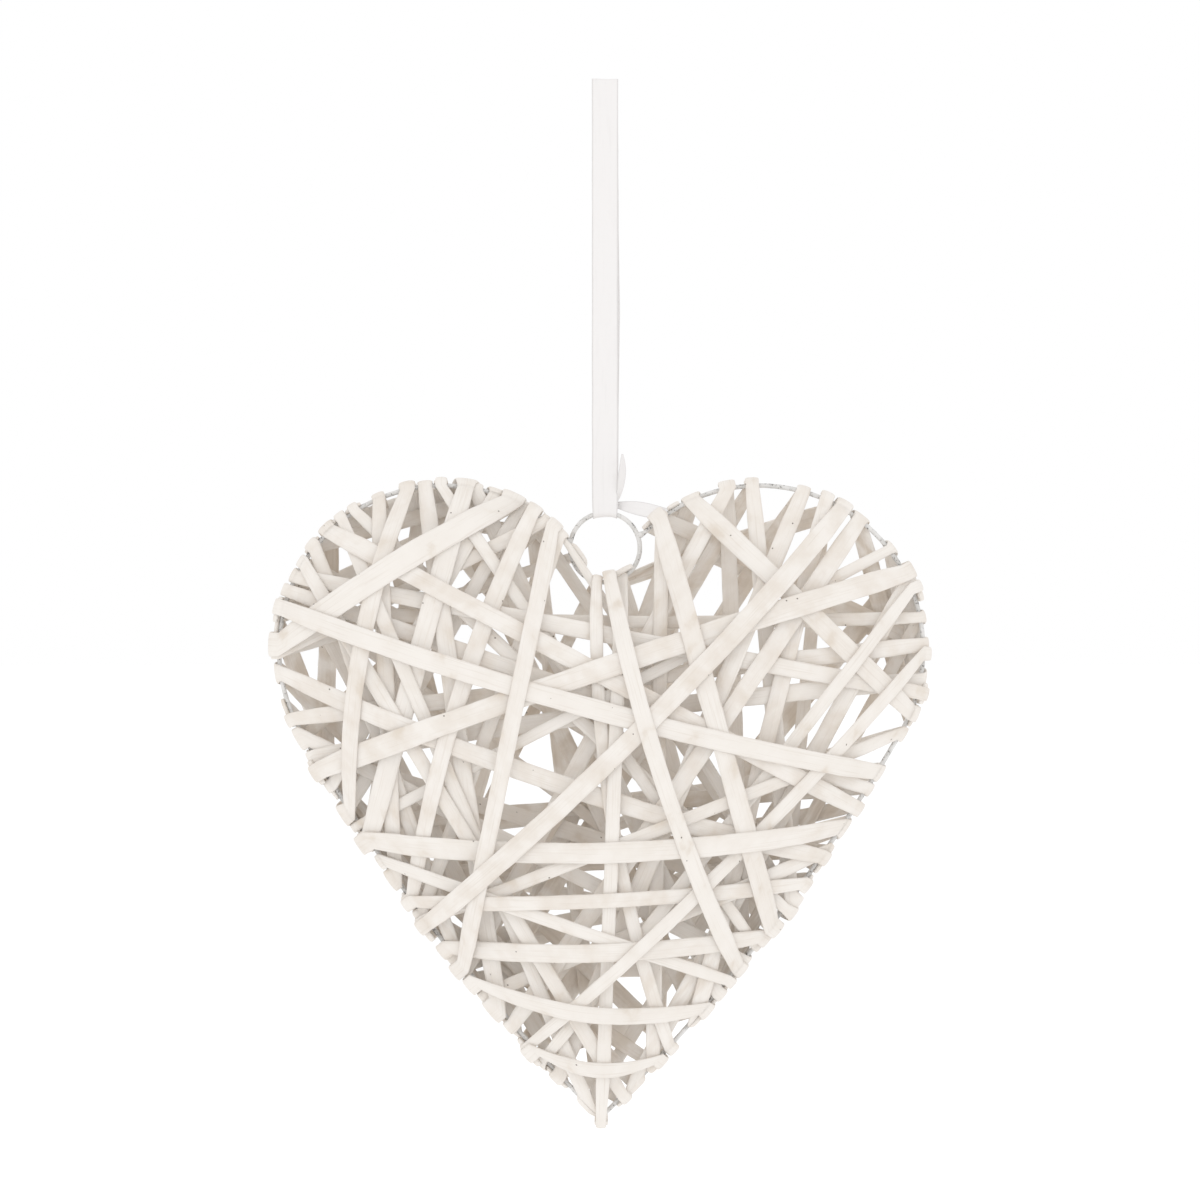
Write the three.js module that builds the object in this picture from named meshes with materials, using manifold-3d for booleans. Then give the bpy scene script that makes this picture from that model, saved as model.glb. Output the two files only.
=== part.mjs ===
// A white wicker heart that hangs from a ribbon: one round wire bent to a heart and closed
// at the cleft by a wire ring, with flat split willow strips wound over its front and back.
// Millimetres, +Z up, the front faces -Y. The origin is the fold at the ribbon's top.

import * as THREE from 'three';
import { mergeVertices } from 'three/addons/utils/BufferGeometryUtils.js';
import Module from 'manifold-3d';

// The wire
const wireDiameter = 2.2;
const lobeRadius = 75.4;
const lobeOverlap = 2.7; // how far each lobe's circle reaches past the middle line
const lobeOffset = lobeRadius - lobeOverlap; // of each lobe's centre from the middle line
const tipDrop = 215; // from the lobes' centres down to the tip
const flankRadius = 850; // the slightly bowed sides below the lobes
const tipBendLength = 5; // how far from the tip the wire starts to bend

// The hanging ring, to its wire's centre line
const ringRadius = 16;
const ringRise = 46.9; // from the lobes' centres up to the ring's centre
const ringShift = 1.8; // the ring sits a little to the right of the heart's middle line
const ringReach = 8; // degrees of bearing to each side in which strips go round the ring
const tipReach = 1.5; // degrees of bearing to each side in which strips go round the tip

// The willow strips
const stripThickness = 1.2;
const gap = 0.3; // between any two pieces that touch
const crossingGap = 0.6; // between strips that cross, which are stiff and never lie quite flat
const middleDrop = 40; // from the lobes' centres down to the point where bearings are taken
const bulge = 0.03; // rise of a strip that nothing lifts, for each millimetre of its length
const pinch = 0.8; // share of its width that a strip keeps where it turns round the wire
const pinchLength = 15; // over which the full width comes back
const longestTurn = 14; // the most wire that one turn covers
const slideStep = 0.5;
const slideCost = 0.15; // how much further out a turn lies before it slips by a millimetre
const slantTolerance = 0.4; // how far a slanted facet may leave the strip's true surface
const frontSlide = 3; // how far a turn may slip along the wire to lie beside its neighbours
const backSlide = 6;

// The ribbon
const ribbonDrop = 200; // from the fold to the ring
const ribbonWidth = 12;
const ribbonThickness = 0.7;
const neckRise = 4; // from the open eye round the ring's wire to where the two runs meet
const knotRise = 1.5; // from that eye to the knot
const knotReach = 3; // from the middle of the ribbon to where the two tails leave the knot
const knotWidth = 3; // of a tail there
const tailWidth = 5;
const tailThickness = 0.8;
const uprightTail = 24;
const uprightLean = 5; // how far the standing tail leans to the right by its end
const uprightPoint = 1.5; // width of its cut end
const sideTail = 25;
const sideRise = 4;
const sideLift = 2; // how far the side tail stands forward by its end
const sideTaper = 0.8; // share of its width at its end

// How finely the curves are stepped
const wireSides = 6;
const lobeSteps = 18;
const flankSteps = 6;
const tipSteps = 3;
const ringSteps = 24;
const sampleLength = 1; // along a strip, where it is tested against those below it
const sampleRows = 5; // across a strip
const footMargin = 0.8;
const sameWayOut = 0.3; // cosine of the widest angle between turns that can lie on each other
const shareSteps = 4; // passes in which the share of a point on a slanted span settles
const weldTolerance = 1e-4;
const kinkTolerance = 0.3;
const longestStep = 0.25; // share of a bowed strip's length between two sections
const bulgePlaces = [0.2, 0.4, 0.6, 0.8];

// The strips in the order they were wound. Each runs over the front from one clock bearing
// to another (degrees clockwise from straight up, seen from the middle of the front), turns
// round the wire there and goes back behind to where the next one starts. The width and the
// bow, to the right of its run, are in millimetres.
const windings = [
  [292, 69.5, 6, 4],
  [155.5, 333, 7.8, 0],
  [254, 341, 6.4, 0],
  [131, 352.5, 5.5, 0],
  [284.5, 345.5, 6.4, 0],
  [270, 147.5, 7.4, 0],
  [27, 210, 7.4, 0],
  [31, 130.5, 7.8, 0],
  [266, 80, 8.3, -3],
  [63, 174.5, 7.8, 0],
  [260, 335, 6.9, 0],
  [303.5, 213, 7.4, 0],
  [273, 74, 7.8, 0],
  [15.5, 171, 6.9, 0],
  [225.5, 349.5, 6.4, 0],
  [312.5, 133, 6.4, 0],
  [43.5, 161, 7.8, 0],
  [327.5, 143.5, 5.5, 0],
  [295, 101, 7.4, 0],
  [250, 57, 5.5, 0],
  [82, 297.5, 7.8, 0],
  [187, 39.5, 8.3, 0],
  [204, 117, 6.9, 0],
  [235.5, 317, 7.4, 0],
  [197, 50, 8.3, 0],
  [85.5, 21, 9.2, 0],
  [201, 325.5, 8.3, 0],
  [246, 331.5, 9.7, 0],
  [310, 182, 6.4, 0],
  [64.5, 189.5, 6, -0],
  [176.5, 300, 6.9, 0],
  [118.5, 282, 8.7, -6.4],
  [167.5, 358.5, 6, -10],
  [224, 88.5, 6, 0],
  [228.5, 343, 7.8, -6.4],
  [180, 7.5, 6.4, 0],
  [152.5, 240.5, 6, 0],
  [141, 216, 8.3, -3.7],
  [126, 229, 6.9, -2.8],
  [105.5, 307.5, 8.7, 0],
  [263.5, 62, 10.1, -2.8],
  [193, 75.5, 6, 4.6],
  [15, 137.5, 9.2, 0],
  [322, 253.5, 8.3, 7.4],
  [286, 339.5, 11.5, -2.3],
  [292, 97.5, 9.2, 6.4],
  [246, 110.5, 9.7, 7.8],
  [211, 347, 7.8, 0],
  [223, 45.5, 9.2, 6],
  [3.5, 150.5, 7.8, 6],
  [208, 158, 7.8, 7.8],
  [192, 169, 6.9, 6.4],
];
const lastEnd = 20;

const wireRadius = wireDiameter / 2;
const layer = stripThickness + crossingGap;
const firstTurn = wireRadius + gap + stripThickness / 2;
const lobeHeight = -(ribbonDrop + ringRadius + ringRise);

const wireFinish = new THREE.MeshStandardMaterial({ color: 0xc9c6c1, roughness: 0.5, metalness: 0.1 });
const willowFinish = new THREE.MeshStandardMaterial({ color: 0xf0e8e0, roughness: 0.75, metalness: 0 });
const ribbonFinish = new THREE.MeshStandardMaterial({ color: 0xf6f4f3, roughness: 0.35, metalness: 0 });

// Plan coordinates have x to the right and y up, from midway between the lobes' centres.
const middle = new THREE.Vector2(0, -middleDrop);
const ringCentre = new THREE.Vector2(ringShift, ringRise);

function rightOf(direction) {
  return new THREE.Vector2(direction.y, -direction.x);
}

// The centre of a flank's arc, which touches the lobe from inside and ends at the tip.
function flankCentre(side) {
  const lobe = new THREE.Vector2(side * lobeOffset, 0);
  const toTip = new THREE.Vector2(0, -tipDrop).sub(lobe);
  const span = toTip.length();
  const inner = flankRadius - lobeRadius;
  const reach = (span ** 2 + inner ** 2 - flankRadius ** 2) / (2 * span);
  const rise = Math.sqrt(inner ** 2 - reach ** 2);
  toTip.normalize();
  const across = rightOf(toTip).multiplyScalar(side);
  return lobe.addScaledVector(toTip, reach).addScaledVector(across, rise);
}

function lobeArc(side) {
  const centre = new THREE.Vector2(side * lobeOffset, 0);
  return { centre, radius: lobeRadius };
}

function flankArc(side) {
  return { centre: flankCentre(side), radius: flankRadius };
}

// Where a lobe passes into its flank.
function shoulder(side) {
  const lobe = lobeArc(side).centre;
  const away = lobe.clone().sub(flankCentre(side)).normalize();
  return lobe.addScaledVector(away, lobeRadius);
}

// Where a ray from the middle meets a circle: the far point, or the near one.
function meet(ray, arc, near) {
  const toCentre = arc.centre.clone().sub(middle);
  const along = toCentre.dot(ray);
  const half = Math.sqrt(arc.radius ** 2 - toCentre.lengthSq() + along ** 2);
  return middle.clone().addScaledVector(ray, near ? along - half : along + half);
}

// The place on the wound wire at a bearing, with the way out of the heart there. Strips that
// go round the ring pass through it, so there the way out is towards the ring's centre, and
// the wire curves towards the turn by hollow, one over its radius. At the tip a strip goes
// round both sides of the bend at once.
function wirePlace(bearing) {
  const angle = THREE.MathUtils.degToRad(bearing);
  const ray = new THREE.Vector2(Math.sin(angle), Math.cos(angle));
  if (Math.abs(bearing - 180) < tipReach) {
    return { bearing, at: new THREE.Vector2(0, -tipDrop), out: new THREE.Vector2(0, -1), hollow: 0 };
  }
  const toRing = ringCentre.clone().sub(middle).normalize();
  const offRing = Math.acos(Math.min(1, ray.dot(toRing)));
  if (offRing < THREE.MathUtils.degToRad(ringReach)) {
    const at = meet(ray, { centre: ringCentre, radius: ringRadius }, true);
    return { bearing, at, out: ringCentre.clone().sub(at).normalize(), hollow: 1 / ringRadius };
  }
  const side = ray.x < 0 ? -1 : 1;
  const onFlank = meet(ray, flankArc(side), false);
  const arc = onFlank.y < shoulder(side).y ? flankArc(side) : lobeArc(side);
  const at = meet(ray, arc, false);
  return { bearing, at, out: at.clone().sub(arc.centre).normalize(), hollow: 0 };
}

function slidePlace(place, distance) {
  const turn = distance / place.at.distanceTo(middle);
  return wirePlace(place.bearing + THREE.MathUtils.radToDeg(turn));
}

// A span is one run of a strip over a face of the heart. It is measured by a share s of its
// run and an offset v across it. Its first and last sections lie along the wire there, so
// each section between them slants a little less or more than the last.
function makeSpan(face, from, to, width, bow, fromOut, toOut, hand) {
  const run = to.clone().sub(from);
  const length = run.length();
  const forward = run.normalize();
  const across = rightOf(forward).multiplyScalar(hand);
  const slant = (out) => {
    const along = rightOf(out);
    return along.dot(forward) / along.dot(across) / length;
  };
  const fromSlant = slant(fromOut);
  const toSlant = slant(toOut);
  const neck = (share) => {
    const stretch = Math.hypot(1, share * length);
    return Math.min(pinch, longestTurn / (width * stretch));
  };
  return {
    face, from, length, forward, across, width, bow: bow * hand, fromSlant, toSlant,
    fromNeck: neck(fromSlant), toNeck: neck(toSlant), profile: [],
  };
}

function planPoint(span, s, v) {
  const share = (1 - s) * span.fromSlant * v + s * (1 + span.toSlant * v);
  const aside = v + 4 * span.bow * s * (1 - s);
  const point = span.from.clone().addScaledVector(span.forward, share * span.length);
  return point.addScaledVector(span.across, aside);
}

function halfWidth(span, s) {
  const fromShare = span.fromNeck + (1 - span.fromNeck) * s * span.length / pinchLength;
  const toShare = span.toNeck + (1 - span.toNeck) * (1 - s) * span.length / pinchLength;
  return span.width / 2 * Math.min(1, fromShare, toShare);
}

// The share and offset of a plan point on a span: planPoint turned round, by a few steps.
function sharePoint(span, x, y) {
  const dx = x - span.from.x;
  const dy = y - span.from.y;
  const ahead = (dx * span.forward.x + dy * span.forward.y) / span.length;
  const aside = dx * span.across.x + dy * span.across.y;
  let s = ahead;
  let v = aside;
  for (let step = 0; step < shareSteps; step += 1) {
    v = aside - 4 * span.bow * s * (1 - s);
    s = (ahead - span.fromSlant * v) / (1 + v * (span.toSlant - span.fromSlant));
  }
  return [s, v];
}

function heightAt(profile, s) {
  const last = profile.length - 1;
  for (let i = 1; i < last; i += 1) {
    if (s < profile[i][0]) {
      return mixHeight(profile[i - 1], profile[i], s);
    }
  }
  return mixHeight(profile[last - 1], profile[last], s);
}

function mixHeight(a, b, s) {
  const share = (s - a[0]) / (b[0] - a[0]);
  return a[1] + (b[1] - a[1]) * Math.min(1, Math.max(0, share));
}

// The height that the strips already laid under a plan point ask of one laid over them.
function liftAt(laid, x, y) {
  let lift = 0;
  for (const span of laid) {
    const [s, v] = sharePoint(span, x, y);
    const slack = footMargin / span.length;
    const covers = s > -slack && s < 1 + slack && Math.abs(v) < halfWidth(span, s) + footMargin;
    if (covers) {
      lift = Math.max(lift, heightAt(span.profile, s) + layer);
    }
  }
  return lift;
}

// The string pulled tight over a set of points: their upper hull.
function tautString(points) {
  const hull = [];
  for (const point of points) {
    while (hull.length > 1 && !isKink(hull[hull.length - 2], hull[hull.length - 1], point)) {
      hull.pop();
    }
    hull.push(point);
  }
  return hull;
}

function isKink(a, b, c) {
  return (b[0] - a[0]) * (c[1] - a[1]) < (b[1] - a[1]) * (c[0] - a[0]);
}

// Leaves out the kinks that hardly show: the furthest from the chord stays, and each part
// on its two sides is treated alike.
function easeProfile(profile) {
  const first = profile[0];
  const last = profile[profile.length - 1];
  const lacks = profile.map((point) => point[1] - mixHeight(first, last, point[0]));
  const worst = Math.max(...lacks);
  if (worst < kinkTolerance) return [first, last];
  const furthest = lacks.indexOf(worst);
  const start = easeProfile(profile.slice(0, furthest + 1));
  return [...start.slice(0, -1), ...easeProfile(profile.slice(furthest))];
}

// Lays a span as a tight band over what lies under it, from one end height to the other.
function drape(span, laid, fromHeight, toHeight) {
  const steps = Math.ceil(span.length / sampleLength);
  const lifts = [];
  for (let i = 0; i <= steps; i += 1) {
    const s = i / steps;
    const half = halfWidth(span, s);
    let lift = 0;
    for (let row = 0; row < sampleRows; row += 1) {
      const point = planPoint(span, s, half * (2 * row / (sampleRows - 1) - 1));
      lift = Math.max(lift, liftAt(laid, point.x, point.y));
    }
    lifts.push(lift);
  }
  const rise = 4 * bulge * span.length;
  const points = [];
  for (let i = 0; i <= steps; i += 1) {
    const s = i / steps;
    let height = Math.max(lifts[Math.max(0, i - 1)], lifts[i], lifts[Math.min(steps, i + 1)]);
    if (i === 0) height = Math.max(height, fromHeight);
    if (i === steps) height = Math.max(height, toHeight);
    if (height > 0) points.push([s, height]);
  }
  for (const s of bulgePlaces) {
    points.push([s, fromHeight + (toHeight - fromHeight) * s + rise * s * (1 - s)]);
  }
  points.sort((a, b) => a[0] - b[0]);
  span.profile = easeProfile(tautString(points));
}

// The turns that one at a place would lie on.
function turnsUnder(turns, place, half) {
  return turns.filter((turn) => {
    const reach = turn.half + half + gap;
    return turn.out.dot(place.out) > sameWayOut && turn.at.distanceTo(place.at) < reach;
  });
}

// How far out of the wire's centre line a turn has to lie to clear another below it: each
// is straight along the wire, so the ends of both are tested against the other's line.
function clearRadius(place, half, below) {
  const way = rightOf(place.out);
  const belowWay = rightOf(below.out);
  let radius = below.radius + layer;
  for (const sign of [-1, 1]) {
    const end = below.at.clone().addScaledVector(below.out, below.radius + layer);
    end.addScaledVector(belowWay, sign * below.half).sub(place.at);
    if (Math.abs(end.dot(way)) < half + gap) {
      radius = Math.max(radius, end.dot(place.out));
    }
    const own = place.at.clone().addScaledVector(way, sign * half).sub(below.at);
    if (Math.abs(own.dot(belowWay)) < below.half + gap) {
      const lack = below.radius + layer - own.dot(below.out);
      radius = Math.max(radius, lack / place.out.dot(below.out));
    }
  }
  return radius;
}

// A turn round the wire at a bearing, slipped along it a little where it lies lower there.
function findTurn(turns, bearing, half, slide) {
  const wanted = wirePlace(bearing);
  let best = null;
  for (let distance = 0; distance <= slide; distance += slideStep) {
    for (const way of distance === 0 ? [1] : [1, -1]) {
      const place = slidePlace(wanted, way * distance);
      if (place.hollow !== wanted.hollow) continue;
      const under = turnsUnder(turns, place, half);
      const bare = firstTurn + place.hollow * half ** 2 / 2;
      const radius = Math.max(bare, ...under.map((turn) => clearRadius(place, half, turn)));
      const cost = radius + slideCost * distance;
      if (best === null || cost < best.cost) {
        best = { ...place, half, radius, cost, under };
      }
    }
  }
  best.front = Math.max(best.radius, ...best.under.map((turn) => turn.front + layer));
  best.back = Math.max(best.radius, ...best.under.map((turn) => turn.back + layer));
  turns.push(best);
  return best;
}

// Half of the wire length that a strip covers where it runs from one bearing to another.
function turnHalf(bearing, other, width) {
  const place = wirePlace(bearing);
  const run = wirePlace(other).at.sub(place.at).normalize();
  const lean = Math.max(Math.abs(run.dot(place.out)), width * pinch / longestTurn);
  return width / 2 * pinch / lean;
}

// Winds every strip in order. Each hooks on to the wire, runs over the front, turns round
// the wire, runs back behind the heart and hooks on to the wire again.
function wind() {
  const turns = [];
  const front = [];
  const back = [];
  return windings.map(([fromBearing, toBearing, width, bow], index) => {
    const next = index + 1 < windings.length ? windings[index + 1][0] : lastEnd;
    const startHalf = turnHalf(fromBearing, toBearing, width);
    const turnBoth = Math.max(turnHalf(toBearing, fromBearing, width), turnHalf(toBearing, next, width));
    const start = findTurn(turns, fromBearing, startHalf, frontSlide);
    const turn = findTurn(turns, toBearing, turnBoth, frontSlide);
    const end = findTurn(turns, next, turnHalf(next, toBearing, width), backSlide);

    const over = makeSpan(1, start.at, turn.at, width, bow, start.out, turn.out, 1);
    const backWay = rightOf(end.at.clone().sub(turn.at));
    const backHand = backWay.dot(sectionWay(over, 1)) > 0 ? 1 : -1;
    const under = makeSpan(-1, turn.at, end.at, width, 0, turn.out, end.out, backHand);

    drape(over, front, start.front, turn.front);
    front.push(over);
    start.front = heightAt(over.profile, 0);
    turn.front = heightAt(over.profile, 1);
    drape(under, back, turn.back, end.back);
    back.push(under);
    turn.back = heightAt(under.profile, 0);
    end.back = heightAt(under.profile, 1);
    return { start, turn, end, over, under };
  });
}

function sectionWay(span, s) {
  return planPoint(span, s, 1).sub(planPoint(span, s, -1)).normalize();
}

// The corners of a span's section: outer edge, outer edge, inner edge, inner edge.
function spanSection(span, s) {
  const half = halfWidth(span, s);
  const height = heightAt(span.profile, s);
  const corner = (v, rise) => {
    const point = planPoint(span, s, v);
    return new THREE.Vector3(point.x, -span.face * (height + rise), point.y);
  };
  const rise = stripThickness / 2;
  return [corner(-half, rise), corner(half, rise), corner(half, -rise), corner(-half, -rise)];
}

// The shares at which a span gets a section: its kinks, and more where it is bowed or where
// its sections turn while it climbs.
function spanShares(span) {
  const shares = [0];
  for (const [s, height] of span.profile.slice(1)) {
    const before = shares[shares.length - 1];
    const climb = Math.abs(height - heightAt(span.profile, before));
    const twist = Math.abs(span.toSlant - span.fromSlant) * halfWidth(span, (before + s) / 2);
    const forBow = span.bow === 0 ? 1 : (s - before) / longestStep;
    const pieces = Math.ceil(Math.max(forBow, twist * climb / 2 / slantTolerance));
    for (let i = 1; i <= pieces; i += 1) {
      shares.push(before + (s - before) * i / pieces);
    }
  }
  return shares;
}

// A section of a turn at an angle round the wire: 0 is in front, 90 outside, 180 behind.
// It is moved along the depth by a shift, to meet the height of the span that it leads to.
function turnSection(turn, way, half, angle, shift) {
  const radians = THREE.MathUtils.degToRad(angle);
  const corner = (sign, rise) => {
    const radius = turn.radius + rise;
    const point = turn.at.clone().addScaledVector(way, sign * half);
    point.addScaledVector(turn.out, radius * Math.sin(radians));
    return new THREE.Vector3(point.x, -(radius * Math.cos(radians) + shift), point.y);
  };
  const rise = stripThickness / 2;
  return [corner(-1, rise), corner(1, rise), corner(1, -rise), corner(-1, -rise)];
}

// The sections of a turn, from the front to the back. The outermost one is doubled where
// the two halves of the turn stand apart.
function turnSections(turn, way, frontHalf, backHalf) {
  const frontShift = turn.front - turn.radius;
  const backShift = turn.radius - turn.back;
  const apart = frontShift - backShift > gap;
  const outside = apart ? [[90, frontShift], [90, backShift]] : [[90, (frontShift + backShift) / 2]];
  const steps = [[45, frontShift], ...outside, [135, backShift]];
  return steps.map(([angle, shift]) => {
    const half = frontHalf + (backHalf - frontHalf) * angle / 180;
    return turnSection(turn, way, half, angle, shift);
  });
}

function endHalf(span, s) {
  const half = halfWidth(span, s);
  return planPoint(span, s, half).distanceTo(planPoint(span, s, -half)) / 2;
}

// A closed skin over a run of like sections, with both ends capped, or joined in a ring.
function loft(sections, closed) {
  const sides = sections[0].length;
  const positions = sections.flat().flatMap((point) => point.toArray());
  const index = [];
  const rings = closed ? sections.length : sections.length - 1;
  for (let i = 0; i < rings; i += 1) {
    const here = i * sides;
    const there = ((i + 1) % sections.length) * sides;
    for (let j = 0; j < sides; j += 1) {
      const k = (j + 1) % sides;
      index.push(here + j, there + j, there + k, here + j, there + k, here + k);
    }
  }
  if (!closed) {
    const end = (sections.length - 1) * sides;
    for (let j = 1; j < sides - 1; j += 1) {
      index.push(0, j, j + 1, end, end + j + 1, end + j);
    }
  }
  const geometry = new THREE.BufferGeometry();
  geometry.setAttribute('position', new THREE.Float32BufferAttribute(positions, 3));
  geometry.setIndex(signedVolume(positions, index) < 0 ? index.reverse() : index);
  geometry.computeVertexNormals();
  return geometry;
}

function signedVolume(positions, index) {
  const corner = (i) => new THREE.Vector3().fromArray(positions, 3 * index[i]);
  let volume = 0;
  for (let i = 0; i < index.length; i += 3) {
    volume += corner(i).dot(corner(i + 1).cross(corner(i + 2)));
  }
  return volume / 6;
}

// One strip from its first hook over the wire to its last.
function stripGeometry({ start, turn, end, over, under }) {
  const startWay = sectionWay(over, 0);
  const turnWay = sectionWay(over, 1);
  const endWay = sectionWay(under, 1);
  return loft([
    ...turnSections(start, startWay, endHalf(over, 0), endHalf(over, 0)).reverse(),
    ...spanShares(over).map((s) => spanSection(over, s)),
    ...turnSections(turn, turnWay, endHalf(over, 1), endHalf(under, 0)),
    ...spanShares(under).map((s) => spanSection(under, s)),
    ...turnSections(end, endWay, endHalf(under, 1), endHalf(under, 1)).reverse(),
  ], false);
}

// A round wire along a line in the heart's plane, mitred at every point.
function wireGeometry(points, closed) {
  const count = points.length;
  return loft(points.map((point, i) => {
    const before = closed ? points[(i + count - 1) % count] : points[Math.max(0, i - 1)];
    const after = closed ? points[(i + 1) % count] : points[Math.min(count - 1, i + 1)];
    const into = point.clone().sub(before).normalize();
    const away = after.clone().sub(point).normalize();
    const forward = into.clone().add(away).normalize();
    const mitre = 1 / Math.max(forward.dot(into), forward.dot(away));
    const across = rightOf(forward);
    return Array.from({ length: wireSides }, (_, side) => {
      const angle = 2 * Math.PI * (side + 0.5) / wireSides;
      const place = point.clone().addScaledVector(across, wireRadius * mitre * Math.cos(angle));
      return new THREE.Vector3(place.x, wireRadius * Math.sin(angle), place.y);
    });
  }), closed);
}

function arcPoints(arc, fromAngle, toAngle, steps) {
  return Array.from({ length: steps + 1 }, (_, i) => {
    const angle = fromAngle + (toAngle - fromAngle) * i / steps;
    const ray = new THREE.Vector2(Math.cos(angle), Math.sin(angle));
    return arc.centre.clone().addScaledVector(ray, arc.radius);
  });
}

// Half of the heart's wire, from its end at the ring, over the lobe and down to the tip.
function halfHeart(side) {
  const lobe = lobeArc(side);
  const toRing = ringCentre.clone().sub(lobe.centre);
  const clear = ringRadius + wireRadius + gap + wireRadius;
  const cosine = (toRing.lengthSq() + lobeRadius ** 2 - clear ** 2) / (2 * toRing.length() * lobeRadius);
  const endAngle = toRing.angle() + side * -Math.acos(cosine);
  const join = shoulder(side).sub(lobe.centre);
  const joinAngle = side < 0 ? join.angle() : join.angle() - 2 * Math.PI;
  const flank = flankArc(side);
  const tip = new THREE.Vector2(0, -tipDrop);
  const fromFlank = shoulder(side).sub(flank.centre).angle();
  const toTip = tip.sub(flank.centre).angle() + side * tipBendLength / flankRadius;
  const turnBack = fromFlank - toTip > Math.PI ? 2 * Math.PI : 0;
  return [
    ...arcPoints(lobe, endAngle, joinAngle, lobeSteps),
    ...arcPoints(flank, fromFlank, toTip + turnBack, flankSteps).slice(1),
  ];
}

function heartWire() {
  const left = halfHeart(-1);
  const right = halfHeart(1);
  const leftEnd = left[left.length - 1];
  const rightEnd = right[right.length - 1];
  const tip = new THREE.Vector2(0, -tipDrop);
  const bend = new THREE.QuadraticBezierCurve(leftEnd, tip, rightEnd).getPoints(tipSteps);
  return wireGeometry([...left, ...bend.slice(1, -1), ...right.reverse()], false);
}

function hangingRing() {
  const arc = { centre: ringCentre, radius: ringRadius };
  return wireGeometry(arcPoints(arc, 0, 2 * Math.PI, ringSteps).slice(0, -1), true);
}

const wasm = await Module();
wasm.setup();

function toSolid(geometry) {
  const bare = geometry.index ? geometry.clone() : geometry;
  bare.deleteAttribute('normal');
  bare.deleteAttribute('uv');
  const merged = mergeVertices(bare, weldTolerance);
  return new wasm.Manifold(new wasm.Mesh({
    numProp: 3,
    vertProperties: new Float32Array(merged.attributes.position.array),
    triVerts: new Uint32Array(merged.index.array),
  }));
}

function fromSolid(solid) {
  const mesh = solid.getMesh();
  const geometry = new THREE.BufferGeometry();
  geometry.setAttribute('position', new THREE.BufferAttribute(mesh.vertProperties, 3));
  geometry.setIndex(new THREE.BufferAttribute(mesh.triVerts, 1));
  geometry.computeVertexNormals();
  return geometry;
}

// A flat tail of the ribbon: a tapering band between two points in front of the ring.
function tailBand(points) {
  const sections = points.map(([x, y, z, width], i) => {
    const here = points[Math.min(i, points.length - 2)];
    const there = points[Math.min(i, points.length - 2) + 1];
    const run = new THREE.Vector2(there[0] - here[0], there[2] - here[2]).normalize();
    const across = rightOf(run).multiplyScalar(width / 2);
    const corner = (side, rise) => new THREE.Vector3(
      x + side * across.x, y + rise * tailThickness / 2, z + side * across.y);
    return [corner(-1, -1), corner(1, -1), corner(1, 1), corner(-1, 1)];
  });
  return loft(sections, false);
}

// The doubled ribbon: flat from the fold down, open round the ring's wire, and knotted
// above it, with its two cut ends standing out of the knot.
function ribbonSolid() {
  const sag = ringRadius - Math.sqrt(ringRadius ** 2 - (ribbonWidth / 2) ** 2);
  const eyeHalf = wireRadius + gap;
  const eyeTop = -ribbonDrop + wireRadius + gap;
  const eyeBottom = -ribbonDrop - sag - wireRadius - gap;
  const neckTop = eyeTop + neckRise;
  const outline = new THREE.Shape();
  outline.moveTo(-ribbonThickness, 0);
  outline.lineTo(-ribbonThickness, neckTop);
  outline.lineTo(-eyeHalf - ribbonThickness, eyeTop - ribbonThickness);
  outline.lineTo(-eyeHalf - ribbonThickness, eyeBottom + ribbonThickness);
  outline.lineTo(-eyeHalf / 2, eyeBottom - ribbonThickness);
  outline.lineTo(eyeHalf / 2, eyeBottom - ribbonThickness);
  outline.lineTo(eyeHalf + ribbonThickness, eyeBottom + ribbonThickness);
  outline.lineTo(eyeHalf + ribbonThickness, eyeTop - ribbonThickness);
  outline.lineTo(ribbonThickness, neckTop);
  outline.lineTo(ribbonThickness, 0);
  outline.closePath();
  const band = new THREE.ExtrudeGeometry(outline, { depth: ribbonWidth, bevelEnabled: false });
  band.translate(0, 0, -ribbonWidth / 2);
  band.applyMatrix4(new THREE.Matrix4().makeBasis(
    new THREE.Vector3(0, 1, 0), new THREE.Vector3(0, 0, 1), new THREE.Vector3(1, 0, 0)));
  const eye = new THREE.BoxGeometry(2 * ribbonWidth, 2 * eyeHalf, eyeTop - eyeBottom);
  eye.translate(0, 0, (eyeTop + eyeBottom) / 2);
  const knotY = -eyeHalf - ribbonThickness;
  const knotZ = eyeTop + knotRise;
  const upright = tailBand([
    [knotReach, knotY, knotZ, knotWidth],
    [knotReach + uprightLean / 2, knotY, knotZ + uprightTail / 2, tailWidth],
    [knotReach + uprightLean, knotY, knotZ + uprightTail, uprightPoint],
  ]);
  const aside = tailBand([
    [knotReach, knotY, knotZ, knotWidth],
    [knotReach + sideTail / 2, knotY - sideLift / 2, knotZ + sideRise, tailWidth],
    [knotReach + sideTail, knotY - sideLift, knotZ + sideRise, tailWidth * sideTaper],
  ]);
  return fromSolid(toSolid(band).subtract(toSolid(eye)).add(toSolid(upright)).add(toSolid(aside)));
}

const object = new THREE.Group();
const heart = new THREE.Group();
heart.position.set(-ringShift, 0, lobeHeight);
object.add(heart);

function addPiece(group, name, geometry, finish) {
  const mesh = new THREE.Mesh(geometry, finish.clone());
  mesh.name = name;
  group.add(mesh);
}

addPiece(heart, 'heart_wire', heartWire(), wireFinish);
addPiece(heart, 'hanging_ring', hangingRing(), wireFinish);
wind().forEach((strip, index) => {
  const number = String(index + 1).padStart(2, '0');
  addPiece(heart, `willow_strip_${number}`, stripGeometry(strip), willowFinish);
});
addPiece(object, 'ribbon', ribbonSolid(), ribbonFinish);

export default object;
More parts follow.
